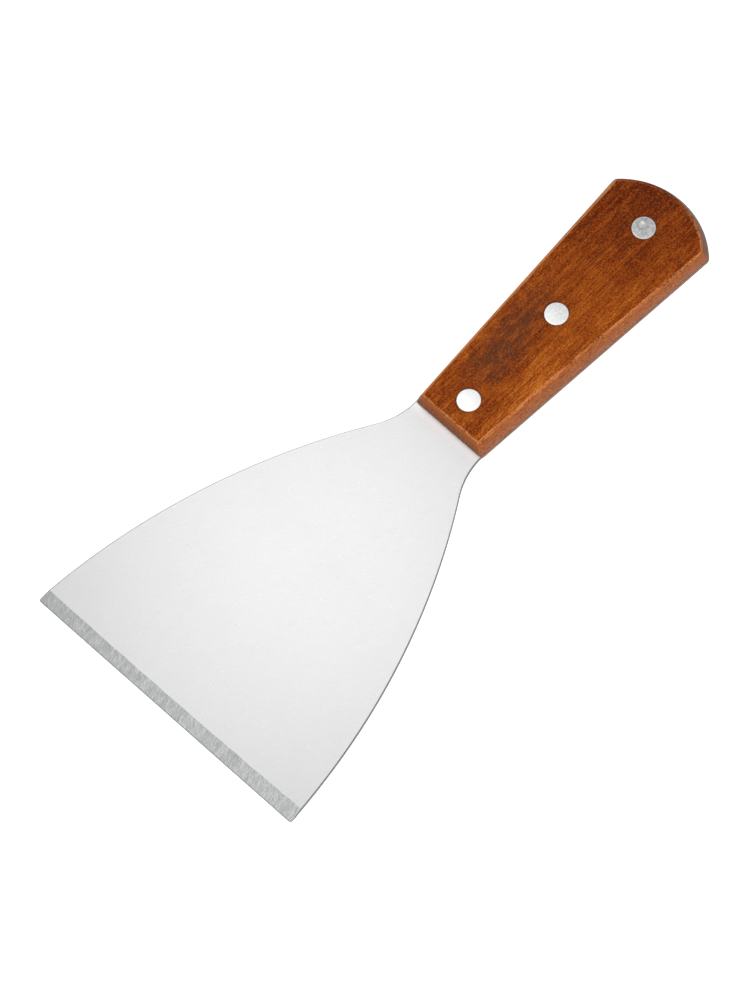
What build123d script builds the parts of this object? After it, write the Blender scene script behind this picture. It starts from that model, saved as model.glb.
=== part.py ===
from build123d import *

import os
from math import cos, radians, sin, sqrt

# Stiff scraping and taping knife: a full-tang steel blade with a ground edge, between two
# wooden scales held by three compression rivets. Each rivet is a tube half, put in from the
# front, and a pin half, driven into the tube from the back.
#
# Millimetres. +X runs from the butt to the cutting edge, +Z comes out of the front face.
# The origin is under the middle of the knife, in the plane of the back scale's outer face.

# Overall
LENGTH = 215.0
EDGE_X = LENGTH / 2
BUTT_X = -LENGTH / 2

# Blade
BLADE_WIDTH = 100.5          # a nominal 4 inches along the cutting edge
STEEL = 1.5
EDGE_CORNER_RADIUS = 0.8
SIDE_START_ANGLE = 3.6       # how far each side already leans in at the edge, degrees
SIDE_RADIUS = 225.0          # the long bowed side
SIDE_SWEEP = 28.3            # degrees of that bow, up to the hollow of the neck
GRIND_WIDTH = 4.2            # the ground band along the cutting edge
EDGE_LAND = 0.2              # steel left at the very edge

# Handle in plan
HANDLE_FRONT_X = EDGE_X - 117.5
HANDLE_FRONT_WIDTH = 26.0
BUTT_CORNER_WIDTH = 37.6
BUTT_BULGE = 8.0             # how far the butt's arc stands out past its corners
FRONT_CORNER_RADIUS = 1.2
BUTT_CORNER_RADIUS = 1.8
NECK_END = 2.0               # how far inside the handle the neck's hollow runs out

# Scales
SCALE_HEIGHT = 6.4
SIDE_DRAFT_FRONT = 1.9       # how far each sloping face leans in over the scale's height
SIDE_DRAFT_BUTT = 1.6
FRONT_DRAFT = 0.8
BUTT_DRAFT = 2.4
ARRIS_RADIUS = 0.8

# Rivets
RIVET_PITCH = 36.6
FRONT_RIVET_SETBACK = 8.9    # from the handle's front end to the first rivet
HEAD_DIAMETER = 7.2
HEAD_THICKNESS = 1.2
HEAD_CROWN = 0.15
HEAD_SET = 0.05              # how far the crown stays under the wood
TUBE_DIAMETER = 4.4
PIN_DIAMETER = 2.96
BORE_DIAMETER = 3.0
RADIAL_CLEARANCE = 0.05      # round the heads and the tubes
TUBE_END_GAP = 0.3           # from the tube's open end to the pin's head
BORE_END_WALL = 0.5          # between the blind bore and the tube's head
PIN_END_GAP = 1.0            # from the pin's end to the end of the bore
DIMPLE_RADIUS = 2.6
DIMPLE_DEPTH = 0.35
DIMPLE_OFFSET = -0.8         # along Y, from the butt rivet's middle

# Worked out from the sizes above
STEEL_BOTTOM = SCALE_HEIGHT
STEEL_TOP = STEEL_BOTTOM + STEEL
HEIGHT = STEEL_TOP + SCALE_HEIGHT
BUTT_CORNER_X = BUTT_X + BUTT_BULGE
BUTT_RADIUS = ((BUTT_CORNER_WIDTH / 2) ** 2 + BUTT_BULGE**2) / (2 * BUTT_BULGE)
BUTT_CENTRE_X = BUTT_X + BUTT_RADIUS
HEAD_SEAT = HEAD_THICKNESS + HEAD_SET
RIVETS = {
    name: HANDLE_FRONT_X - FRONT_RIVET_SETBACK - i * RIVET_PITCH
    for i, name in enumerate(("front", "middle", "butt"))
}


def handle_half_width(x):
    """Half the handle's width in the tang's plane, which grows evenly towards the butt."""
    along = (HANDLE_FRONT_X - x) / (HANDLE_FRONT_X - BUTT_CORNER_X)
    return (HANDLE_FRONT_WIDTH + along * (BUTT_CORNER_WIDTH - HANDLE_FRONT_WIDTH)) / 2


def handle_outline(front_draft=0.0, side_draft_front=0.0, side_draft_butt=0.0, butt_draft=0.0):
    """The handle in plan, drawn in from its full outline by the given drafts."""
    front_x = HANDLE_FRONT_X - front_draft
    front_y = handle_half_width(front_x) - side_draft_front
    butt_y = handle_half_width(BUTT_CORNER_X) - side_draft_butt
    radius = BUTT_RADIUS - butt_draft
    butt_x = BUTT_CENTRE_X - sqrt(radius**2 - butt_y**2)
    edges = [
        Line((front_x, -front_y), (front_x, front_y)),
        Line((front_x, front_y), (butt_x, butt_y)),
        ThreePointArc((butt_x, butt_y), (BUTT_CENTRE_X - radius, 0), (butt_x, -butt_y)),
        Line((butt_x, -butt_y), (front_x, -front_y)),
    ]
    outline = make_face(edges)
    corners = outline.vertices().sort_by(Axis.X)
    outline = fillet(corners[:2], BUTT_CORNER_RADIUS)
    return fillet(outline.vertices().sort_by(Axis.X)[-2:], FRONT_CORNER_RADIUS)


def blade_side():
    """One side from the edge's corner to the handle: a long bow, then the neck's hollow."""
    lean = radians(SIDE_START_ANGLE)
    bow = JernArc((EDGE_X, BLADE_WIDTH / 2), (-cos(lean), -sin(lean)), SIDE_RADIUS, SIDE_SWEEP)
    end_x = HANDLE_FRONT_X - NECK_END
    hollow = TangentArc(bow @ 1, (end_x, handle_half_width(end_x)), tangent=bow % 1)
    return [bow, hollow]


def make_blade():
    """The blade and its full tang, one sheet of steel, ground on its front face."""
    side = blade_side()
    neck_end = side[-1] @ 1
    edges = side + [mirror(edge, Plane.XZ) for edge in side]
    edges.append(Line((EDGE_X, BLADE_WIDTH / 2), (EDGE_X, -BLADE_WIDTH / 2)))
    edges.append(Line((neck_end.X, neck_end.Y), (neck_end.X, -neck_end.Y)))
    outline = make_face(edges)
    outline = fillet(outline.vertices().sort_by(Axis.X)[-2:], EDGE_CORNER_RADIUS)
    sheet = extrude(outline + handle_outline(), STEEL)

    grind = Polyline(
        (EDGE_X - GRIND_WIDTH, STEEL),
        (EDGE_X, EDGE_LAND),
        (EDGE_X + GRIND_WIDTH, EDGE_LAND),
        (EDGE_X + GRIND_WIDTH, STEEL),
        close=True,
    )
    sheet -= extrude(Plane.XZ * make_face(grind), BLADE_WIDTH, both=True)
    for x in RIVETS.values():
        sheet -= Pos(x, 0, STEEL / 2) * Cylinder(TUBE_DIAMETER / 2 + RADIAL_CLEARANCE, 2 * STEEL)
    return Pos(0, 0, STEEL_BOTTOM) * sheet


def make_scale():
    """A scale lying on its inner face, its four sides sloping in to the outer face."""
    base = handle_outline()
    top = handle_outline(FRONT_DRAFT, SIDE_DRAFT_FRONT, SIDE_DRAFT_BUTT, BUTT_DRAFT)
    scale = loft([base, Pos(0, 0, SCALE_HEIGHT) * top], ruled=True)
    scale = fillet(scale.faces().sort_by(Axis.Z)[-1].edges(), ARRIS_RADIUS)
    for x in RIVETS.values():
        hole = CounterBoreHole(
            TUBE_DIAMETER / 2 + RADIAL_CLEARANCE,
            HEAD_DIAMETER / 2 + RADIAL_CLEARANCE,
            HEAD_SEAT,
            SCALE_HEIGHT,
        )
        scale -= Pos(x, 0, SCALE_HEIGHT) * hole
    return scale


def rivet_head():
    """A crowned head standing on Z = 0, its crown upwards."""
    radius = HEAD_DIAMETER / 2
    crown_radius = (radius**2 + HEAD_CROWN**2) / (2 * HEAD_CROWN)
    crown = Pos(0, 0, HEAD_THICKNESS - crown_radius) * Sphere(crown_radius)
    disc = Pos(0, 0, HEAD_THICKNESS / 2) * Cylinder(radius, HEAD_THICKNESS)
    return disc & crown


def make_rivet_tube():
    """The tube half of a rivet, its head seated in the front scale."""
    seat = HEIGHT - HEAD_SEAT
    end = HEAD_SEAT + TUBE_END_GAP
    length = seat - end
    bore = length - BORE_END_WALL
    tube = Pos(0, 0, end + length / 2) * Cylinder(TUBE_DIAMETER / 2, length)
    tube += Pos(0, 0, seat) * rivet_head()
    return tube - Pos(0, 0, end + bore / 2) * Cylinder(BORE_DIAMETER / 2, bore)


def make_rivet_pin():
    """The pin half of a rivet, its head seated in the back scale."""
    end = HEIGHT - HEAD_SEAT - BORE_END_WALL - PIN_END_GAP
    length = end - HEAD_SEAT
    pin = Pos(0, 0, HEAD_SEAT + length / 2) * Cylinder(PIN_DIAMETER / 2, length)
    return pin + Pos(0, 0, HEAD_SEAT) * Rot(180, 0, 0) * rivet_head()


def make_dimple():
    """The punch mark in the front head of the butt rivet."""
    crown = HEIGHT - HEAD_SET
    return Pos(0, DIMPLE_OFFSET, crown + DIMPLE_RADIUS - DIMPLE_DEPTH) * Sphere(DIMPLE_RADIUS)


scale = make_scale()
nodes = {
    "blade": make_blade(),
    "front_scale": Pos(0, 0, STEEL_TOP) * scale,
    "back_scale": Pos(0, 0, STEEL_BOTTOM) * Rot(180, 0, 0) * scale,
}
for name, x in RIVETS.items():
    tube = make_rivet_tube()
    if name == "butt":
        tube -= make_dimple()
    nodes[f"{name}_rivet_tube"] = Pos(x, 0, 0) * tube
    nodes[f"{name}_rivet_pin"] = Pos(x, 0, 0) * make_rivet_pin()

os.makedirs("parts", exist_ok=True)
for name, shape in nodes.items():
    export_step(shape, f"parts/{name}.step")
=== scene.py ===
"""The looks of a stiff taping knife: a ground steel blade between two stained wooden scales.

Everything stands in the frame of the knife's own model, in metres. +X runs from the butt to
the cutting edge, +Y across the blade and +Z out of the front face. The lengths below are in
millimetres and become metres where a mesh is made.
"""

from math import atan2, cos, pi, radians, sin, sqrt

import bmesh
import bpy
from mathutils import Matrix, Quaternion, Vector, noise


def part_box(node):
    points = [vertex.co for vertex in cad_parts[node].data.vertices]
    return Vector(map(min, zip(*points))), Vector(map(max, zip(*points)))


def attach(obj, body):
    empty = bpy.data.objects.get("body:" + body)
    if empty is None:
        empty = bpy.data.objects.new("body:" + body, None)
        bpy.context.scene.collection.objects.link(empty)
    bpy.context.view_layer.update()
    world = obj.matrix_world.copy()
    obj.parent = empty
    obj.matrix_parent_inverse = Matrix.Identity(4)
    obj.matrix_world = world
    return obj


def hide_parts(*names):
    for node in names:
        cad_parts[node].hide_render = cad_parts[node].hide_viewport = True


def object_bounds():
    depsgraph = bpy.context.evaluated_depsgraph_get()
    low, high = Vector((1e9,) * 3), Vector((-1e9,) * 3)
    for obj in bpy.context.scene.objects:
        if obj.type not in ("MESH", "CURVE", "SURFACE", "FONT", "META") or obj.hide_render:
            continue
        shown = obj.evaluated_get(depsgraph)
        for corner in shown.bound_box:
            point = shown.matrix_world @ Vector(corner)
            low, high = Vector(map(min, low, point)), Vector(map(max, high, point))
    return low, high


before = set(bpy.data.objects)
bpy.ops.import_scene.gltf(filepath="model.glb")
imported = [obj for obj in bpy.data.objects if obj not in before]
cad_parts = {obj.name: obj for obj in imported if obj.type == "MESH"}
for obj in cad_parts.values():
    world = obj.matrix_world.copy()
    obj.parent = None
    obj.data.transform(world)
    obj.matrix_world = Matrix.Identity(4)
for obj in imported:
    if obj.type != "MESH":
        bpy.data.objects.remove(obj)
MODEL_LOW, MODEL_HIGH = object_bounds()
MM = 0.001
WELD_REACH = 0.0004          # points of a mesh that are closer than this become one

# Blade
BLADE_WIDTH = 100.5          # along the cutting edge
EDGE_CORNER_RADIUS = 0.8
SIDE_START_ANGLE = 3.6       # how far each side already leans in at the edge, degrees
SIDE_RADIUS = 225.0          # the long bowed side
SIDE_SWEEP = 28.3            # degrees of that bow, up to the hollow of the neck
GRIND_WIDTH = 4.2            # the ground band's usual width
GRIND_TAPER = 0.35           # how much wider the band is at one corner, and narrower at the other
GRIND_WAIST = 0.4            # how much narrower it is halfway along than at the corners
GRIND_WANDER = 0.18          # how far the hand-held grind strays from its line
GRIND_BLEND = 14.0           # how far from the edge the cross sections follow the band's line
EDGE_LAND = 0.2              # steel left at the very edge
SHEARED_EASE = 0.35          # the broken corner along the sheet's outline

# Handle in plan
HANDLE_FRONT_WIDTH = 26.0
BUTT_CORNER_WIDTH = 37.6
BUTT_BULGE = 8.0             # how far the butt's arc stands out past its corners
FRONT_CORNER_RADIUS = 1.2
BUTT_CORNER_RADIUS = 1.8
NECK_END = 2.0               # how far inside the handle the neck's hollow runs out
SPINE_TO_BUTT = 16.0         # where the handle's middle line stops short of the butt
SPINE_TO_FRONT = 12.0        # and of the front end

# Scales
SIDE_DRAFT_FRONT = 1.9       # how far each sloping face leans in over the scale's height
SIDE_DRAFT_BUTT = 1.6
FRONT_DRAFT = 0.8
BUTT_DRAFT = 2.4
ARRIS_RADIUS = 0.8
ARRIS_WEAR = 0.22            # how unevenly the arris has been sanded
SIDE_SWELL = 0.05            # how far the sanded sides stand out at half their height
TOP_CROWN = 0.12             # how much lower the outer face is at its rim
BACK_DRAFT = 0.6             # how much further in the back scale's outer face is sanded
FACE_SHIFT = 0.9             # how far off the middle the front scale's face lies at its butt

# Rivets
HEAD_DIAMETER = 7.2
HEAD_THICKNESS = 1.2
HEAD_CROWN = 0.15
HEAD_EASE = 0.14             # the rounded rim of a head
HEAD_SET = 0.05              # how far the crown stays under the wood
TUBE_DIAMETER = 4.4
PIN_DIAMETER = 2.96
BORE_DIAMETER = 3.0
RADIAL_CLEARANCE = 0.05      # round the heads and the tubes
BORE_END_WALL = 0.5          # between the blind bore and the tube's head
DIMPLE_RADIUS = 1.5
DIMPLE_DEPTH = 0.3
DIMPLE_OFFSET = -0.8         # along Y, from the butt rivet's middle
BORE_SEGMENTS = 64
HEAD_SEGMENTS = 72
CROWN_RINGS = 18

# Places, read from the knife's model
EDGE_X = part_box("blade")[1].x / MM
BUTT_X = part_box("blade")[0].x / MM
STEEL_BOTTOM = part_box("blade")[0].z / MM
STEEL_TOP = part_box("blade")[1].z / MM
HANDLE_FRONT_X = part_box("front_scale")[1].x / MM
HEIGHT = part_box("front_scale")[1].z / MM
SCALE_HEIGHT = HEIGHT - STEEL_TOP
BUTT_CORNER_X = BUTT_X + BUTT_BULGE
BUTT_RADIUS = ((BUTT_CORNER_WIDTH / 2) ** 2 + BUTT_BULGE**2) / (2 * BUTT_BULGE)
BUTT_CENTRE_X = BUTT_X + BUTT_RADIUS
HEAD_SEAT = HEAD_THICKNESS + HEAD_SET
GRIND_X = EDGE_X - GRIND_WIDTH
BLEND_X = EDGE_X - GRIND_BLEND


def middle(node):
    """The middle of a node's box, in millimetres."""
    low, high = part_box(node)
    return (low + high) / (2 * MM)


RIVETS = {name: middle(f"{name}_rivet_tube").x for name in ("front", "middle", "butt")}
# How bright each rivet is coloured, and how much duller its scuffed parts are.
RIVET_FINISHES = {"front": (1.0, 0.06), "middle": (0.98, 0.18), "butt": (0.73, 0.47)}

# Studio, in metres and degrees
ROOM_BRIGHTNESS = 0.62
FLOOR_GLOW = 0.6
FLOOR_REACH = 3.0
FLOOR_DROP = 0.0005          # keeps the floor clear of the knife's back
CAMERA_AZIMUTH = 140.80
CAMERA_ELEVATION = 67.66
CAMERA_ROLL = -7.55
CAMERA_DISTANCE = 3.4421
CAMERA_AIM = (0.0199, -0.0006, 0.0)    # from the middle of the knife's box
CAMERA_LENS = 432.0          # millimetres, on a sensor 36 mm wide


# ---------------------------------------------------------------- node graphs


class Value:
    """A node's output that takes part in plain arithmetic, one Math node for each step."""

    def __init__(self, graph, socket):
        self.graph = graph
        self.socket = socket

    def out(self, name):
        """Another output of the same node."""
        return Value(self.graph, self.socket.node.outputs[name])

    def __add__(self, other):
        return self.graph.math("ADD", self, other)

    def __radd__(self, other):
        return self.graph.math("ADD", other, self)

    def __sub__(self, other):
        return self.graph.math("SUBTRACT", self, other)

    def __rsub__(self, other):
        return self.graph.math("SUBTRACT", other, self)

    def __mul__(self, other):
        return self.graph.math("MULTIPLY", self, other)

    def __rmul__(self, other):
        return self.graph.math("MULTIPLY", other, self)

    def __truediv__(self, other):
        return self.graph.math("DIVIDE", self, other)

    def __neg__(self):
        return self.graph.math("MULTIPLY", self, -1.0)


class Graph:
    """A node tree that is filled through one method."""

    def __init__(self, tree):
        self.tree = tree

    def node(self, kind, settings=None, sockets=None, output=0):
        """Adds a node: first its settings, then the values and links of its sockets."""
        node = self.tree.nodes.new(kind)
        for name, setting in (settings or {}).items():
            if name == "stops":
                self.set_stops(node.color_ramp, setting)
            elif name == "choices":
                while len(node.index_switch_items) < setting:
                    node.index_switch_items.new()
            else:
                setattr(node, name, setting)
        for name, value in (sockets or {}).items():
            if isinstance(value, Value):
                self.tree.links.new(value.socket, node.inputs[name])
            else:
                node.inputs[name].default_value = value
        return Value(self, node.outputs[output]) if node.outputs else node

    def set_stops(self, ramp, stops):
        """Gives a colour ramp its stops, each a place and a colour."""
        while len(ramp.elements) < len(stops):
            ramp.elements.new(1.0)
        for element, (place, colour) in zip(ramp.elements, stops):
            element.position = place
            element.color = (*colour, 1.0)

    def math(self, operation, *values):
        return self.node("ShaderNodeMath", {"operation": operation}, dict(enumerate(values)))

    def vector_math(self, operation, *values):
        return self.node("ShaderNodeVectorMath", {"operation": operation}, dict(enumerate(values)))

    def step(self, value, low, high):
        """A smooth climb from 0 at low to 1 at high."""
        sockets = {"Value": value, "From Min": low, "From Max": high}
        return self.node("ShaderNodeMapRange", {"interpolation_type": "SMOOTHSTEP"}, sockets)

    def split(self, vector):
        return self.node("ShaderNodeSeparateXYZ", sockets={"Vector": vector})

    def join(self, x, y, z):
        return self.node("ShaderNodeCombineXYZ", sockets={"X": x, "Y": y, "Z": z})


class Finish(Graph):
    """A material: patterns on the piece's own coordinates, in millimetres, and one surface."""

    def __init__(self, name):
        self.material = bpy.data.materials.new(name)
        self.material.use_nodes = True
        super().__init__(self.material.node_tree)
        self.tree.nodes.clear()
        own = self.node("ShaderNodeTexCoord", output="Object")
        self.place = self.spread(own, (MM, MM, MM))
        self.facing = self.split(own.out("Normal"))

    def spread(self, vector, size, turn=(0.0, 0.0, 0.0)):
        """The coordinates turned and then divided by the pattern's size along each axis."""
        sockets = {"Vector": vector, "Scale": size, "Rotation": turn}
        return self.node("ShaderNodeMapping", {"vector_type": "TEXTURE"}, sockets)

    def grain(self, size, detail=3.0, roughness=0.5, turn=(0.0, 0.0, 0.0), distortion=0.0):
        """Noise from 0 to 1 whose features have the given size along each axis, in millimetres."""
        sockets = {
            "Vector": self.spread(self.place, size, turn),
            "Scale": 1.0,
            "Detail": detail,
            "Roughness": roughness,
            "Distortion": distortion,
        }
        return self.node("ShaderNodeTexNoise", None, sockets)

    def near(self, centre, size):
        """1 at the centre of an ellipsoid of the given half sizes, falling to 0 at its surface."""
        reach = self.vector_math("DIVIDE", self.vector_math("SUBTRACT", self.place, centre), size)
        return self.step(self.vector_math("LENGTH", reach).out("Value"), 1.0, 0.0)

    def from_axis(self, x):
        """How far a place is from the axis of the rivet at x, in millimetres."""
        flat = self.vector_math("MULTIPLY", self.place, (1, 1, 0))
        return self.vector_math("DISTANCE", flat, (x, 0, 0)).out("Value")

    def ramp(self, factor, *stops):
        """A colour that runs through the stops as factor goes from 0 to 1."""
        return self.node("ShaderNodeValToRGB", {"stops": stops}, {"Fac": factor})

    def mix(self, factor, colour, other):
        """The first colour at factor 0 and the other at factor 1."""
        first, second = [c if isinstance(c, Value) else (*c, 1.0) for c in (colour, other)]
        sockets = {0: factor, 6: first, 7: second}
        return self.node("ShaderNodeMix", {"data_type": "RGBA"}, sockets, 2)

    def surface(self, height, depth, **sockets):
        """The finished surface; a height of 1 stands out by depth, in millimetres."""
        bump = self.node("ShaderNodeBump", None, {"Height": height, "Distance": depth * MM})
        named = {name.replace("_", " "): value for name, value in sockets.items()}
        shader = self.node("ShaderNodeBsdfPrincipled", None, {**named, "Normal": bump})
        self.node("ShaderNodeOutputMaterial", None, {"Surface": shader})
        return self.material


# ------------------------------------------------------------------ materials


def satin_steel():
    """The sheet as it leaves the mill: pale satin, faintly brushed across, with small nicks."""
    steel = Finish("satin_steel")
    brushing = steel.grain((0.16, 5.0, 0.5), 4.0, 0.6, turn=(0, 0, radians(52)))
    clouds = steel.grain((26.0, 34.0, 20.0), 3.0, 0.55)
    specks = steel.grain((0.5, 0.65, 0.5), 2.0, 0.6)
    nicks = steel.step(specks, 0.66, 0.74)
    pits = steel.step(specks, 0.36, 0.28)
    rubs = steel.grain((5.0, 0.35, 1.0), 3.0, 0.6, turn=(0, 0, radians(35)))
    scuffs = steel.step(rubs, 0.66, 0.78)
    tone = steel.ramp(clouds, (0.3, (0.705, 0.705, 0.705)), (0.7, (0.765, 0.765, 0.77)))
    tone = steel.mix(brushing * 0.3, tone, (0.54, 0.54, 0.545))
    tone = steel.mix(nicks * 0.6, tone, (0.95, 0.95, 0.95))
    tone = steel.mix(pits * 0.3, tone, (0.45, 0.45, 0.46))

    # Painted light: the steel just in front of the handle is painted brighter, against the shade
    # and the wood's dark reflection there.
    along = steel.split(steel.place).out("X")
    painted_brightening = steel.step(along, HANDLE_FRONT_X + 3.4, HANDLE_FRONT_X + 0.5)
    tone = steel.mix(painted_brightening * 0.42, tone, (0.97, 0.97, 0.97))
    # Painted contact shadow: a thin dark line on the steel in the corner against the wood.
    painted_contact_shadow = steel.step(along, HANDLE_FRONT_X + 0.45, HANDLE_FRONT_X + 0.05)
    tone = steel.mix(painted_contact_shadow * 0.45, tone, (0.09, 0.06, 0.045))

    # The sheared edge is painted darker than the faces: partly its duller finish, partly painted
    # shade and a painted dark reflection on its broken corner.
    upright = steel.math("ABSOLUTE", steel.facing.out("Z"))
    sheared = steel.step(upright, 0.95, 0.8)
    wall = steel.mix(steel.step(upright, 0.4, 0.2), (0.22, 0.22, 0.218), (0.38, 0.38, 0.378))
    # Between the scales the edge is painted darker and browner still: partly the wood's stain,
    # partly painted shade.
    under_wood = steel.step(along, HANDLE_FRONT_X + 0.5, HANDLE_FRONT_X - 0.5)
    tone = steel.mix(sheared, tone, steel.mix(under_wood, wall, (0.18, 0.13, 0.10)))
    return steel.surface(
        brushing * 0.7 + nicks * 0.3 - scuffs * 0.4,
        0.007,
        Base_Color=tone,
        Metallic=0.9,
        Roughness=0.31 + clouds * 0.1 + brushing * 0.08 - scuffs * 0.06,
    )


def ground_steel():
    """The ground band: darker, with the wheel's scratches slanting out to the edge."""
    steel = Finish("ground_steel")
    scratches = steel.grain((2.6, 0.25, 1.0), 4.0, 0.7, turn=(0, 0, radians(22)))
    burrs = steel.grain((0.4, 0.3, 0.3), 2.0, 0.6)
    chatter = steel.grain((30.0, 1.6, 30.0), 2.0, 0.6)
    place = steel.split(steel.place)
    lines = 0.58 * scratches + 0.27 * burrs + 0.15 * chatter
    lines = lines + 0.03 * steel.step(place.out("Y"), -48.0, -5.0)
    tone = steel.ramp(
        lines,
        (0.35, (0.36, 0.38, 0.375)),
        (0.51, (0.57, 0.59, 0.585)),
        (0.66, (0.86, 0.88, 0.875)),
    )
    at_edge = steel.step(place.out("X"), EDGE_X - 0.5, EDGE_X - 0.1)
    tone = steel.mix(at_edge * 0.6, tone, (0.26, 0.27, 0.27))
    return steel.surface(
        lines,
        0.03,
        Base_Color=tone,
        Metallic=0.9,
        Roughness=0.42 + scratches * 0.22,
    )


def figured_tone(wood, streaks, threads, mottle):
    """The scales' outer faces: fine figure, a dark heart patch and an amber stripe beside it."""
    place = wood.split(wood.place)
    drift = wood.grain((26.0, 10.0, 14.0), 2.0, 0.5)
    blotches = wood.step(wood.grain((4.0, 2.2, 2.2), 3.0, 0.7), 0.38, 0.6)
    heart = wood.near((-35.0, -3.5, HEIGHT), (17.0, 10.0, 7.0))
    shade = wood.near((-50.0, -6.5, HEIGHT), (17.0, 9.0, 7.0)) * 0.7
    patch = wood.math("MINIMUM", (heart + shade) * 1.25, 1.0) * (0.45 + 0.55 * blotches)
    stripes = wood.step(0.5 * streaks + 0.5 * threads, 0.48, 0.6)
    amber = wood.near((-28.0, 9.0, HEIGHT), (30.0, 7.0, 7.0)) * stripes
    flecks = wood.step(wood.grain((0.55, 0.36, 0.36), 2.0, 0.6), 0.52, 0.70)
    pores = wood.step(wood.grain((1.9, 0.28, 0.28), 2.0, 0.5), 0.6, 0.75)

    figure = 0.25 * streaks + 0.17 * threads + 0.46 * mottle + 0.12 * drift + 0.022
    figure = figure - 0.04 * blotches + 0.05 * amber - 0.07 * patch
    figure = figure + 0.03 * wood.step(place.out("Y"), -2.0, 15.0)
    figure = figure - 0.05 * wood.step(place.out("X"), -55.0, -92.0)
    figure = figure - 0.022 * wood.step(place.out("X"), -93.0, -105.0)
    tone = wood.ramp(
        figure,
        (0.415, (0.100, 0.012, 0.0010)),
        (0.48, (0.235, 0.038, 0.0018)),
        (0.55, (0.355, 0.077, 0.0050)),
        (0.61, (0.530, 0.155, 0.0180)),
    )
    tone = wood.mix(patch * 0.6, tone, (0.12, 0.043, 0.0190))
    tone = wood.mix(flecks * 0.34, tone, (0.46, 0.19, 0.0500))
    return wood.mix(pores * 0.5, tone, (0.09, 0.014, 0.003)), pores


def side_tone_and_sheen(wood, patchy, from_steel):
    """The sloping sides: pinker near the steel, partly the wood's tone and partly a painted sheen,
    a painted highlight on the front end towards its arris, dark at the butt.
    """
    # Near the steel the sides are painted paler and pinker: the wood's own tone mixed with a
    # painted sheen of grazing reflection.
    low_side = wood.mix(patchy, (0.13, 0.042, 0.018), (0.40, 0.160, 0.078))
    high_side = wood.mix(patchy, (0.14, 0.028, 0.005), (0.44, 0.130, 0.028))
    tone = wood.mix(wood.step(from_steel, 1.0, 6.0), low_side, high_side)
    # Painted highlight: the front end face is painted lighter towards its arris.
    front_end_highlight = wood.step(wood.facing.out("X"), 0.6, 0.85) * wood.step(from_steel, 2.5, 6.5)
    tone = wood.mix(front_end_highlight * 0.4, tone, (0.56, 0.18, 0.060))
    butt_end = wood.step(wood.facing.out("X"), -0.25, -0.7)
    return wood.mix(butt_end * 0.75, tone, (0.075, 0.042, 0.030))


def stained_wood():
    """Close-grained wood under a red-brown stain, paler on its arrises: partly worn, partly a
    painted highlight.
    """
    wood = Finish("stained_wood")
    streaks = wood.grain((24.0, 1.3, 1.3), 5.0, 0.7, distortion=0.3)
    threads = wood.grain((5.0, 0.42, 0.42), 3.0, 0.65)
    mottle = wood.grain((0.62, 0.42, 0.42), 3.0, 0.8)
    tone, pores = figured_tone(wood, streaks, threads, mottle)

    upright = wood.math("ABSOLUTE", wood.facing.out("Z"))
    height = wood.split(wood.place).out("Z")
    from_steel = wood.math("ABSOLUTE", height - (STEEL_TOP + STEEL_BOTTOM) / 2)
    patchy = wood.step(0.7 * mottle + 0.3 * threads, 0.36, 0.64)
    side = wood.step(upright, 0.72, 0.45)
    tone = wood.mix(side * 0.9, tone, side_tone_and_sheen(wood, patchy, from_steel))
    # Painted contact shadow: the wood is darkened in a thin line just above the steel.
    tone = wood.mix(wood.step(from_steel, 1.25, 0.8) * 0.35, tone, (0.03, 0.012, 0.008))

    # The arrises are painted paler: partly wear, partly a painted highlight, left off where they
    # face the butt, with an even painted light line added along the -Y side.
    forward = wood.step(wood.facing.out("X"), -0.5, -0.1)
    right = wood.step(wood.facing.out("Y"), 0.0, 0.35)
    left = wood.step(wood.facing.out("Y"), -0.1, -0.4)
    worn = wood.step(upright, 0.5, 0.75) * wood.step(upright, 0.99, 0.92)
    worn = worn * wood.math("MAXIMUM", forward, right)
    paler_rim = worn * wood.step(0.5 * mottle + 0.3 * threads + 0.2 * streaks, 0.38, 0.58)
    paler_rim = wood.math("MINIMUM", paler_rim + worn * 0.35 * left, 1.0)
    tone = wood.mix(paler_rim, tone, (0.58, 0.22, 0.075))
    for x in RIVETS.values():
        shadow = wood.step(wood.from_axis(x), HEAD_DIAMETER / 2 + 0.8, HEAD_DIAMETER / 2)
        tone = wood.mix(shadow * 0.45, tone, (0.06, 0.014, 0.005))
    return wood.surface(
        0.4 * streaks + 0.4 * threads + 0.4 * mottle - 0.6 * pores,
        0.05,
        Base_Color=tone,
        Roughness=0.46 + 0.14 * threads + 0.1 * worn,
        Specular_IOR_Level=0.06,
    )


def rivet_aluminium(name, x, tone, scuffing):
    """Soft bright metal with pressing marks; tone is how bright it is coloured."""
    metal = Finish(name)
    pressing = metal.grain((0.9, 0.9, 0.9), 3.0, 0.6)
    scuffs = metal.grain((0.16, 1.6, 1.0), 3.0, 0.6, turn=(0, 0, radians(20)))
    marks = 0.6 * pressing + 0.4 * scuffs
    paler_rim = metal.step(metal.from_axis(x), HEAD_DIAMETER / 2 - 0.7, HEAD_DIAMETER / 2 - 0.2)
    dull = tuple(tone * (1.0 - scuffing) * part for part in (1.0, 1.0, 1.02))
    colour = metal.ramp(marks + 0.12 * paler_rim, (0.38, dull), (0.6, (tone, tone, tone)))
    return metal.surface(
        marks,
        0.03,
        Base_Color=colour,
        Metallic=0.9,
        Roughness=0.34 + 0.2 * scuffs,
    )


# --------------------------------------------------------------------- meshes


def loft(name, rings):
    """A closed shell through rings of points, whose first and last rings are folded flat."""
    mesh = bmesh.new()
    rows = [[mesh.verts.new(Vector(point) * MM) for point in ring] for ring in rings]
    for row, following in zip(rows, rows[1:]):
        for i in range(len(row)):
            j = (i + 1) % len(row)
            mesh.faces.new((row[i], row[j], following[j], following[i]))
    return finished(name, mesh)


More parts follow.
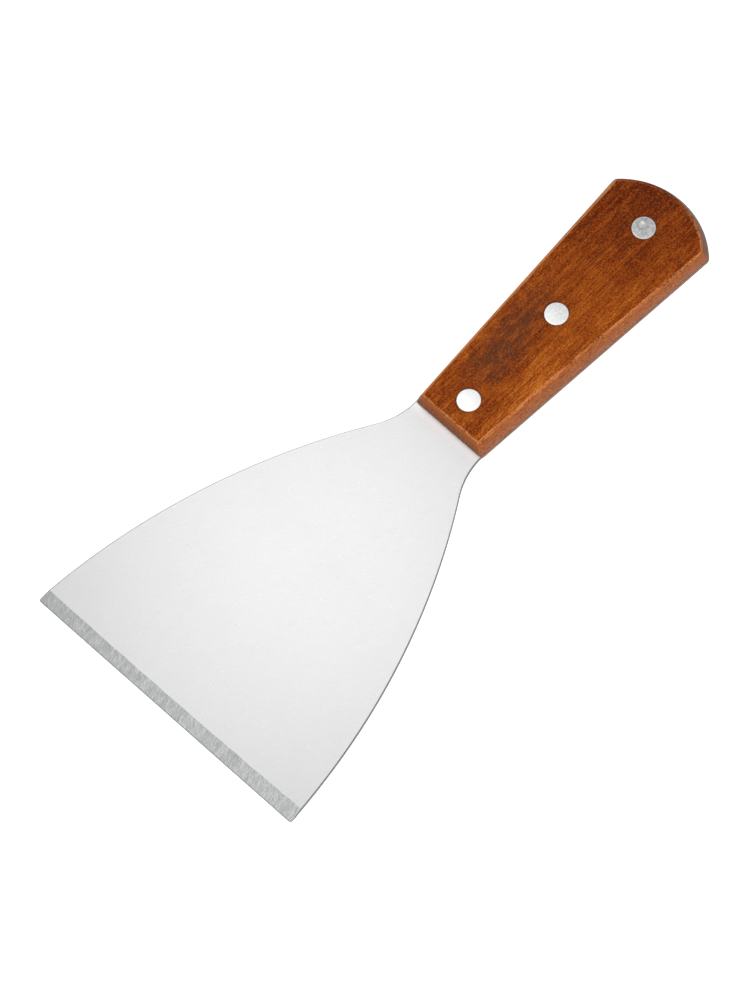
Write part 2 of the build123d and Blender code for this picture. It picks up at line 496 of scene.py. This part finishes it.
def finished(name, mesh):
    """Welds a shell, turns its faces outwards and makes it an object at the origin."""
    bmesh.ops.remove_doubles(mesh, verts=mesh.verts, dist=WELD_REACH * MM)
    bmesh.ops.dissolve_degenerate(mesh, edges=mesh.edges, dist=WELD_REACH / 2 * MM)
    bmesh.ops.recalc_face_normals(mesh, faces=mesh.faces)
    data = bpy.data.meshes.new(name)
    mesh.to_mesh(data)
    mesh.free()
    piece = bpy.data.objects.new(name, data)
    bpy.context.scene.collection.objects.link(piece)
    return piece


def evaluated(piece, name):
    """A new object from what the piece's modifiers make of it; the piece itself goes."""
    graph = bpy.context.evaluated_depsgraph_get()
    data = bpy.data.meshes.new_from_object(piece.evaluated_get(graph))
    bpy.data.objects.remove(piece)
    mesh = bmesh.new()
    mesh.from_mesh(data)
    made = finished(name, mesh)
    for material in data.materials:
        made.data.materials.append(material)
    return made


def bored(piece, cutters):
    """The piece with the cutters taken out of it."""
    name = piece.name
    piece.name = f"{name}_blank"
    for cutter in cutters:
        cut = piece.modifiers.new("bore", "BOOLEAN")
        cut.operation = "DIFFERENCE"
        cut.solver = "EXACT"
        cut.object = cutter
    made = evaluated(piece, name)
    for cutter in cutters:
        bpy.data.objects.remove(cutter)
    return made


def shaded(piece, angle):
    """Smooth shading that breaks where faces meet at more than the angle, in degrees."""
    for face in piece.data.polygons:
        face.use_smooth = True
    piece.data.set_sharp_from_angle(angle=radians(angle))
    return piece


def turned(x, profile):
    """A cutter turned about a rivet's axis, from points of radius and height."""
    around = [2 * pi * i / BORE_SEGMENTS for i in range(BORE_SEGMENTS)]
    rings = [[(x + r * cos(a), r * sin(a), z) for a in around] for r, z in profile]
    return loft("cutter", rings)


# ------------------------------------------------------------------- outlines


def spaced(start, end, count):
    """Evenly spaced numbers from start to end, both included."""
    return [start + (end - start) * i / (count - 1) for i in range(count)]


def handle_half_width(x):
    """Half the handle's width in the tang's plane, which grows evenly towards the butt."""
    along = (HANDLE_FRONT_X - x) / (HANDLE_FRONT_X - BUTT_CORNER_X)
    return (HANDLE_FRONT_WIDTH + along * (BUTT_CORNER_WIDTH - HANDLE_FRONT_WIDTH)) / 2


def arc_points(centre, radius, start, end, count):
    """Points on an arc between two angles, in radians."""
    return [
        (centre[0] + radius * cos(a), centre[1] + radius * sin(a))
        for a in spaced(start, end, count)
    ]


def handle_side(share, inset=0.0, draft=0.0):
    """One side of the handle in plan, from the middle of its front to the middle of its butt.

    share is 0 in the tang's plane and 1 at the outer face, inset draws the outline in and
    draft is what the sides lean in by besides their own draft.
    """
    inset += draft * share
    front_x = HANDLE_FRONT_X - FRONT_DRAFT * share - inset
    front_y = handle_half_width(front_x) - SIDE_DRAFT_FRONT * share - inset
    butt_y = handle_half_width(BUTT_CORNER_X) - SIDE_DRAFT_BUTT * share - inset
    lean = atan2(butt_y - front_y, front_x - BUTT_CORNER_X)
    outward = Vector((sin(lean), cos(lean)))

    corner = max(FRONT_CORNER_RADIUS - inset, 0.2)
    corner_x = front_x - corner
    corner_y = front_y + corner * (sin(lean) - 1.0) / cos(lean)
    points = [(front_x, corner_y * i / 12) for i in range(12)]
    points += arc_points((corner_x, corner_y), corner, 0.0, pi / 2 - lean, 7)

    radius = BUTT_RADIUS - BUTT_DRAFT * share - inset
    corner = max(BUTT_CORNER_RADIUS - inset, 0.3)
    # The corner's centre is its own radius inside the side and inside the butt's arc.
    start = Vector((front_x, front_y)) - corner * outward
    run = Vector((-cos(lean), sin(lean)))
    to_start = start - Vector((BUTT_CENTRE_X, 0.0))
    half = to_start.dot(run)
    reach = -half + sqrt(half**2 - to_start.length_squared + (radius - corner) ** 2)
    centre = start + run * reach
    swing = atan2(centre.y, centre.x - BUTT_CENTRE_X)
    side_start, side_end = Vector(points[-1]), centre + corner * outward
    points += [tuple(side_start.lerp(side_end, i / 40)) for i in range(1, 40)]
    points += arc_points(centre, corner, pi / 2 - lean, swing, 9)
    points += arc_points((BUTT_CENTRE_X, 0.0), radius, swing, pi, 21)[1:]
    return points


def handle_ring(share, inset=0.0, draft=0.0):
    """The handle's whole outline in plan, as handle_side gives one half of it."""
    side = handle_side(share, inset, draft)
    return side + [(x, -y) for x, y in reversed(side[1:-1])]


def blade_arcs():
    """The centres and radii of one side's bow and of the neck's hollow, and where they meet."""
    lean = radians(SIDE_START_ANGLE)
    corner = Vector((EDGE_X, BLADE_WIDTH / 2))
    bow_centre = corner + SIDE_RADIUS * Vector((sin(lean), -cos(lean)))
    turn = lean + radians(SIDE_SWEEP)
    meeting = bow_centre + SIDE_RADIUS * Vector((-sin(turn), cos(turn)))
    end_x = HANDLE_FRONT_X - NECK_END
    end = Vector((end_x, handle_half_width(end_x)))
    chord = end - meeting
    outward = Vector((-sin(turn), cos(turn)))
    hollow_radius = chord.length_squared / (2 * chord.dot(outward))
    return bow_centre, meeting, meeting + hollow_radius * outward, hollow_radius


BOW_CENTRE, MEETING, HOLLOW_CENTRE, HOLLOW_RADIUS = blade_arcs()


def blade_half_width(x):
    """Half the blade's width in front of the handle."""
    if x < MEETING.x:
        return HOLLOW_CENTRE.y - sqrt(HOLLOW_RADIUS**2 - (x - HOLLOW_CENTRE.x) ** 2)
    half = BOW_CENTRE.y + sqrt(SIDE_RADIUS**2 - (x - BOW_CENTRE.x) ** 2)
    into_corner = max(x - (EDGE_X - EDGE_CORNER_RADIUS), 0.0)
    return half - EDGE_CORNER_RADIUS + sqrt(EDGE_CORNER_RADIUS**2 - into_corner**2)


# --------------------------------------------------------------------- pieces


def grind_width(across):
    """The ground band's width at a share of the edge from -1 to 1, a little uneven."""
    wander = noise.noise((across * 9.0, 3.1, 0.0)) + 0.5 * noise.noise((across * 31.0, 7.7, 0.0))
    straight = GRIND_WIDTH + GRIND_TAPER * across + GRIND_WAIST * (across**2 - 0.4)
    return straight + GRIND_WANDER * wander


def make_blade():
    """The blade and its full tang: cross sections of the sheet from the edge to the butt."""
    columns = [sin(pi / 2 * share) for share in spaced(-1.0, 1.0, 97)]
    rows = [EDGE_X - EDGE_CORNER_RADIUS * (1 - cos(a)) for a in spaced(0.0, pi / 2, 7)]
    rows += spaced(rows[-1], GRIND_X, 6)[1:]
    rows += spaced(GRIND_X, BLEND_X, 8)[1:]
    rows += spaced(BLEND_X, MEETING.x, 40)[1:]
    rows += spaced(MEETING.x, HANDLE_FRONT_X - NECK_END, 26)[1:]
    halves = [blade_half_width(x) for x in rows]
    tang = [point for point in handle_side(0.0) if point[0] < rows[-1] - 0.5 and point[1] > 0.2]
    rows += [x for x, y in tang]
    halves += [y for x, y in tang]

    rings = [blade_section(x, half, columns) for x, half in zip(rows, halves)]
    blade = loft("taping_blade", [folded(rings[0]), *rings, folded(rings[-1])])

    radius = TUBE_DIAMETER / 2 + RADIAL_CLEARANCE
    low, high = STEEL_BOTTOM - 1.0, STEEL_TOP + 1.0
    profile = [(0, low), (radius, low), (radius, high), (0, high)]
    blade = bored(blade, [turned(x, profile) for x in RIVETS.values()])
    blade.data.materials.append(satin_steel())
    blade.data.materials.append(ground_steel())
    for face in blade.data.polygons:
        inside = face.center / MM
        width = grind_width(inside.y / blade_half_width(inside.x)) if inside.x > BLEND_X else 0.0
        face.material_index = int(inside.x > EDGE_X - width and face.normal.z > 0.85)
    return shaded(blade, 14)


def blade_section(x, half, columns):
    """The sheet's outline where it is cut across at x, thinner within the ground band."""
    top, bottom, walls = [], [], []
    for share in columns:
        line = EDGE_X - grind_width(share)
        moved = x
        if x > GRIND_X:
            moved = line + (x - GRIND_X) * (EDGE_X - line) / GRIND_WIDTH
        elif x > BLEND_X:
            moved = BLEND_X + (x - BLEND_X) * (line - BLEND_X) / (GRIND_X - BLEND_X)
        ground = max(moved - line, 0.0) / (EDGE_X - line)
        height = STEEL_TOP - ground * (STEEL_TOP - STEEL_BOTTOM - EDGE_LAND)
        ease = min(SHEARED_EASE, (height - STEEL_BOTTOM) / 3)
        y = share * (half - ease)
        top.append((moved, y, height))
        bottom.append((moved, y, STEEL_BOTTOM))
        if abs(share) == 1.0:
            walls.append([(moved, share * half, z) for z in (height - ease, STEEL_BOTTOM + ease)])
    left_wall, right_wall = walls
    return top + right_wall + bottom[::-1] + left_wall[::-1]


def folded(ring):
    """A cross section of the blade laid flat at half its height, which closes the shell."""
    heights = [point[2] for point in ring]
    return [(x, y, (max(heights) + min(heights)) / 2) for x, y, z in ring]


def make_scale(name, seat, outward):
    """One scale lying on the steel at height seat; outward is 1 for the front, -1 for the back."""
    draft = BACK_DRAFT if outward < 0 else 0.0
    rings = [inner_ring(share) for share in (0.0, 0.5)]
    rings += [[(x, y, 0.0) for x, y in handle_ring(0.0)]]
    arris_foot = 1.0 - ARRIS_RADIUS / SCALE_HEIGHT
    for share in spaced(0.0, arris_foot, 9)[1:]:
        swell = -SIDE_SWELL * sin(pi * share)
        rings.append([(x, y, share * SCALE_HEIGHT) for x, y in handle_ring(share, swell, draft)])
    for angle in spaced(0.0, pi / 2, 8)[1:]:
        rings.append(arris_ring(angle, draft))
    for share in (0.97, 0.9, 0.8, 0.65, 0.5, 0.35, 0.2, 0.08, 0.0):
        rings.append(outer_ring(share, draft))
    shift = FACE_SHIFT if outward > 0 else 0.0
    placed = [
        [(x, y + shift * face_lean(x, z), seat + outward * z) for x, y, z in ring] for ring in rings
    ]
    scale = loft(name, placed)

    shank, head = TUBE_DIAMETER / 2 + RADIAL_CLEARANCE, HEAD_DIAMETER / 2 + RADIAL_CLEARANCE
    heights = (-1.0, SCALE_HEIGHT - HEAD_SEAT, SCALE_HEIGHT + 1.0)
    low, step, high = [seat + outward * z for z in heights]
    profile = [(0, low), (shank, low), (shank, step), (head, step), (head, high), (0, high)]
    scale = bored(scale, [turned(x, profile) for x in RIVETS.values()])
    return shaded(scale, 32)


def face_lean(x, height):
    """How much of the face's shift a point takes: none at the front end or on the steel."""
    along = (HANDLE_FRONT_X - x) / (HANDLE_FRONT_X - BUTT_X)
    return along**2 * height / SCALE_HEIGHT


def toward_spine(point, share):
    """A point of an outline drawn towards the handle's middle line, which it meets at share 0."""
    x, y = point
    spine_x = min(max(x, BUTT_X + SPINE_TO_BUTT), HANDLE_FRONT_X - SPINE_TO_FRONT)
    return spine_x + (x - spine_x) * share, y * share


def inner_ring(share):
    """A ring on the scale's inner face, share of the way from the middle line to the outline."""
    return [(*toward_spine(point, share), 0.0) for point in handle_ring(0.0)]


def arris_ring(angle, draft):
    """A ring on the rounded arris, from the side at angle 0 to the outer face at a right angle."""
    ring = []
    share = 1.0 - ARRIS_RADIUS / SCALE_HEIGHT * (1 - sin(angle))
    for x, y in handle_ring(share, ARRIS_RADIUS * (1 - cos(angle)), draft):
        worn = ARRIS_WEAR * noise.noise((x * 0.19, y * 0.31, 2.3)) * sin(2 * angle)
        height = SCALE_HEIGHT - ARRIS_RADIUS * (1 - sin(angle)) - TOP_CROWN
        ring.append((x, y, height + worn - max(worn, 0.0) * 0.5))
    return ring


def outer_ring(share, draft):
    """A ring on the gently crowned outer face, share of the way out to the arris."""
    plan = handle_ring(1.0, ARRIS_RADIUS, draft)
    height = SCALE_HEIGHT - TOP_CROWN * share**2
    return [(*toward_spine(point, share), height) for point in plan]


def rivet_tree():
    """Turns one half of a rivet: a crowned head, a shank and, in the tube half, a blind bore."""
    tree = bpy.data.node_groups.new("rivet_half", "GeometryNodeTree")
    sizes = {
        "Head Diameter": HEAD_DIAMETER,
        "Head Thickness": HEAD_THICKNESS,
        "Crown": HEAD_CROWN,
        "Edge Ease": HEAD_EASE,
        "Shank Diameter": TUBE_DIAMETER,
        "Shank Length": 10.0,
        "Bore Diameter": BORE_DIAMETER,
        "Bore Depth": 0.0,
        "Dimple Depth": 0.0,
        "Dimple Radius": DIMPLE_RADIUS,
        "Dimple Offset": DIMPLE_OFFSET,
    }
    interface = tree.interface
    for name, size in sizes.items():
        socket = interface.new_socket(name, in_out="INPUT", socket_type="NodeSocketFloat")
        socket.default_value = size
    for name, count in {"Crown Rings": CROWN_RINGS, "Segments": HEAD_SEGMENTS}.items():
        socket = interface.new_socket(name, in_out="INPUT", socket_type="NodeSocketInt")
        socket.default_value = count
    interface.new_socket("Place", in_out="INPUT", socket_type="NodeSocketVector")
    interface.new_socket("Turn", in_out="INPUT", socket_type="NodeSocketVector")
    interface.new_socket("Finish", in_out="INPUT", socket_type="NodeSocketMaterial")
    interface.new_socket("Geometry", in_out="OUTPUT", socket_type="NodeSocketGeometry")

    graph = Graph(tree)
    given = graph.node("NodeGroupInput")
    radius = given.out("Head Diameter") / 2
    ease = given.out("Edge Ease")
    shank = given.out("Shank Diameter") / 2
    bore = given.out("Bore Diameter") / 2
    under = -given.out("Head Thickness")
    end = under - given.out("Shank Length")
    bottom = end + given.out("Bore Depth")
    rim = -given.out("Crown")
    # Radius and height of each corner past the crown, from the head's rim to the bore's bottom.
    corners = [
        (radius - ease * 0.3, rim - ease * 0.3),
        (radius, rim - ease),
        (radius, under),
        (shank, under),
        (shank, end),
        (bore, end),
        (bore, bottom),
        (0.0, bottom),
    ]

    crown_rings = given.out("Crown Rings")
    along = crown_rings + len(corners) + 1
    around = given.out("Segments")
    sockets = {"Vertices X": around + 1, "Vertices Y": along}
    grid = graph.node("GeometryNodeMeshGrid", None, sockets)
    index = graph.node("GeometryNodeInputIndex")
    row = graph.math("MODULO", index, along)
    angle = graph.math("FLOOR", (index + 0.5) / along) * (2 * pi) / around
    share = graph.math("MINIMUM", row / crown_rings, 1.0)

    choice = graph.math("MAXIMUM", row - crown_rings - 1, 0.0)
    settings = {"data_type": "VECTOR", "choices": len(corners)}
    sockets = {"Index": choice}
    sockets.update({i + 1: graph.join(r, 0.0, z) for i, (r, z) in enumerate(corners)})
    corner = graph.node("GeometryNodeIndexSwitch", settings, sockets)
    on_crown = graph.join((radius - ease) * share, 0.0, rim * share * share)
    past = graph.math("GREATER_THAN", row, crown_rings + 0.5)
    sockets = {"Switch": past, "False": on_crown, "True": corner}
    profile = graph.split(graph.node("GeometryNodeSwitch", {"input_type": "VECTOR"}, sockets))

    reach, height = profile.out("X"), profile.out("Z")
    x = reach * graph.math("COSINE", angle)
    y = reach * graph.math("SINE", angle)
    offset = y - given.out("Dimple Offset")
    apart = graph.math("SQRT", x * x + offset * offset)
    ragged = graph.node("ShaderNodeTexNoise", None, {"Vector": graph.join(x, y, 4.0), "Scale": 1.1})
    sunk = graph.step(apart + 0.9 * (ragged - 0.5), given.out("Dimple Radius"), 0.35)
    height = height - given.out("Dimple Depth") * sunk * (1 - past)
    sockets = {"Geometry": grid, "Position": graph.join(x, y, height)}
    shaped = graph.node("GeometryNodeSetPosition", None, sockets)
    sockets = {"Geometry": shaped, "Distance": 0.0005}
    welded = graph.node("GeometryNodeMergeByDistance", None, sockets)
    sockets = {"Geometry": welded, "Translation": given.out("Place"), "Rotation": given.out("Turn")}
    placed = graph.node("GeometryNodeTransform", None, sockets)
    sized = graph.node("GeometryNodeTransform", None, {"Geometry": placed, "Scale": (MM, MM, MM)})
    real = graph.node("GeometryNodeRealizeInstances", None, {"Geometry": sized})
    sockets = {"Geometry": real, "Material": given.out("Finish")}
    done = graph.node("GeometryNodeSetMaterial", None, sockets)
    graph.node("NodeGroupOutput", None, {"Geometry": done})
    return tree


def make_rivet_half(name, tree, finish, **inputs):
    """Runs the tree once with its inputs set, and keeps the plain mesh."""
    blank = bpy.data.objects.new(f"{name}_blank", bpy.data.meshes.new(f"{name}_blank"))
    bpy.context.scene.collection.objects.link(blank)
    turning = blank.modifiers.new("turning", "NODES")
    turning.node_group = tree
    identifiers = {
        item.name: item.identifier
        for item in tree.interface.items_tree
        if item.item_type == "SOCKET" and item.in_out == "INPUT"
    }
    turning[identifiers["Finish"]] = finish
    for label, value in inputs.items():
        turning[identifiers[label.replace("_", " ")]] = value
    return shaded(evaluated(blank, name), 28)


def make_rivets():
    """Both halves of the three rivets, each under the name of the node it stands for."""
    tree = rivet_tree()
    made = {}
    for name, x in RIVETS.items():
        tone, scuffing = RIVET_FINISHES[name]
        finish = rivet_aluminium(f"{name}_rivet_aluminium", x, tone, scuffing)
        tube_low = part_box(f"{name}_rivet_tube")[0].z / MM
        pin_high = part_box(f"{name}_rivet_pin")[1].z / MM
        tube_length = HEIGHT - HEAD_SEAT - tube_low
        made[f"{name}_rivet_tube"] = make_rivet_half(
            f"{name}_rivet_tube_half", tree, finish,
            Shank_Length=tube_length,
            Bore_Depth=tube_length - BORE_END_WALL,
            Dimple_Depth=DIMPLE_DEPTH if name == "butt" else 0.0,
            Place=(x, 0.0, HEIGHT - HEAD_SET),
        )
        # The pin's bore has no depth, which leaves its end flat.
        made[f"{name}_rivet_pin"] = make_rivet_half(
            f"{name}_rivet_pin_half", tree, finish,
            Shank_Diameter=PIN_DIAMETER,
            Shank_Length=pin_high - HEAD_SEAT,
            Bore_Diameter=PIN_DIAMETER * 0.5,
            Place=(x, 0.0, HEAD_SET),
            Turn=(pi, 0.0, 0.0),
        )
    return made


# ---------------------------------------------------------------------- studio


def pale_floor():
    """A wide pale floor that glows a little, as a lit sweep does."""
    sweep = Finish("pale_floor")
    grain = sweep.grain((40.0, 40.0, 40.0), 2.0)
    material = sweep.surface(
        grain,
        0.01,
        Base_Color=(0.92, 0.92, 0.92, 1.0),
        Roughness=0.9,
        Emission_Color=(1.0, 1.0, 1.0, 1.0),
        Emission_Strength=FLOOR_GLOW,
    )
    mesh = bmesh.new()
    corners = [(-1, -1), (1, -1), (1, 1), (-1, 1)]
    mesh.faces.new([mesh.verts.new((x * FLOOR_REACH, y * FLOOR_REACH, 0.0)) for x, y in corners])
    data = bpy.data.meshes.new("floor")
    mesh.to_mesh(data)
    mesh.free()
    floor = bpy.data.objects.new("floor", data)
    floor.location.z = -FLOOR_DROP
    floor.data.materials.append(material)
    bpy.context.scene.collection.objects.link(floor)


def soft_panel(name, aim, azimuth, elevation, distance, size, power):
    """A square soft light that faces a place on the knife."""
    light = bpy.data.lights.new(name, "AREA")
    light.size = size
    light.energy = power
    lamp = bpy.data.objects.new(name, light)
    back = direction(azimuth, elevation)
    lamp.location = Vector(aim) + back * distance
    lamp.rotation_mode = "QUATERNION"
    lamp.rotation_quaternion = (-back).to_track_quat("-Z", "Y")
    lamp.visible_camera = False
    bpy.context.scene.collection.objects.link(lamp)


def direction(azimuth, elevation):
    """From the knife outwards, in degrees; azimuth 0 is the -Y side and 90 the +X side."""
    a, e = radians(azimuth), radians(elevation)
    return Vector((sin(a) * cos(e), -cos(a) * cos(e), sin(e)))


def make_studio():
    """White surroundings, a floor, a key light and a small light that the blade mirrors."""
    pale_floor()
    world = bpy.data.worlds.new("white_room")
    world.use_nodes = True
    room = world.node_tree.nodes["Background"].inputs
    room["Color"].default_value = (1.0, 1.0, 1.0, 1.0)
    room["Strength"].default_value = ROOM_BRIGHTNESS
    bpy.context.scene.world = world
    bpy.context.scene.view_settings.view_transform = "Standard"
    soft_panel("key", (0.0, 0.0, 0.0), 162.0, 48.0, 1.5, 1.0, 10.0)
    soft_panel("sheen", (0.050, 0.0, 0.008), 320.8, 67.66, 0.3, 0.12, 0.085)


def make_camera():
    """A long lens looking down on the front face, turned a little about its own axis."""
    camera = bpy.data.cameras.new("camera")
    camera.lens = CAMERA_LENS
    camera.sensor_width = 36.0
    camera.clip_end = 10.0
    viewer = bpy.data.objects.new("camera", camera)
    back = direction(CAMERA_AZIMUTH, CAMERA_ELEVATION)
    aim = (MODEL_LOW + MODEL_HIGH) / 2 + Vector(CAMERA_AIM)
    viewer.location = aim + back * CAMERA_DISTANCE
    viewer.rotation_mode = "QUATERNION"
    roll = Quaternion((0.0, 0.0, 1.0), radians(CAMERA_ROLL))
    viewer.rotation_quaternion = (-back).to_track_quat("-Z", "Y") @ roll
    bpy.context.scene.collection.objects.link(viewer)
    bpy.context.scene.camera = viewer


# -------------------------------------------------------------------- assembly


def install(piece, node):
    """The piece stands for its node of the knife's model, and rides where that does."""
    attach(piece, "root")
    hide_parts(node)


install(make_blade(), "blade")
wood = stained_wood()
for name, seat, outward in (("front", STEEL_TOP, 1), ("back", STEEL_BOTTOM, -1)):
    scale = make_scale(f"{name}_wood_scale", seat, outward)
    scale.data.materials.append(wood)
    install(scale, f"{name}_scale")
for node, rivet in make_rivets().items():
    install(rivet, node)
make_studio()
make_camera()
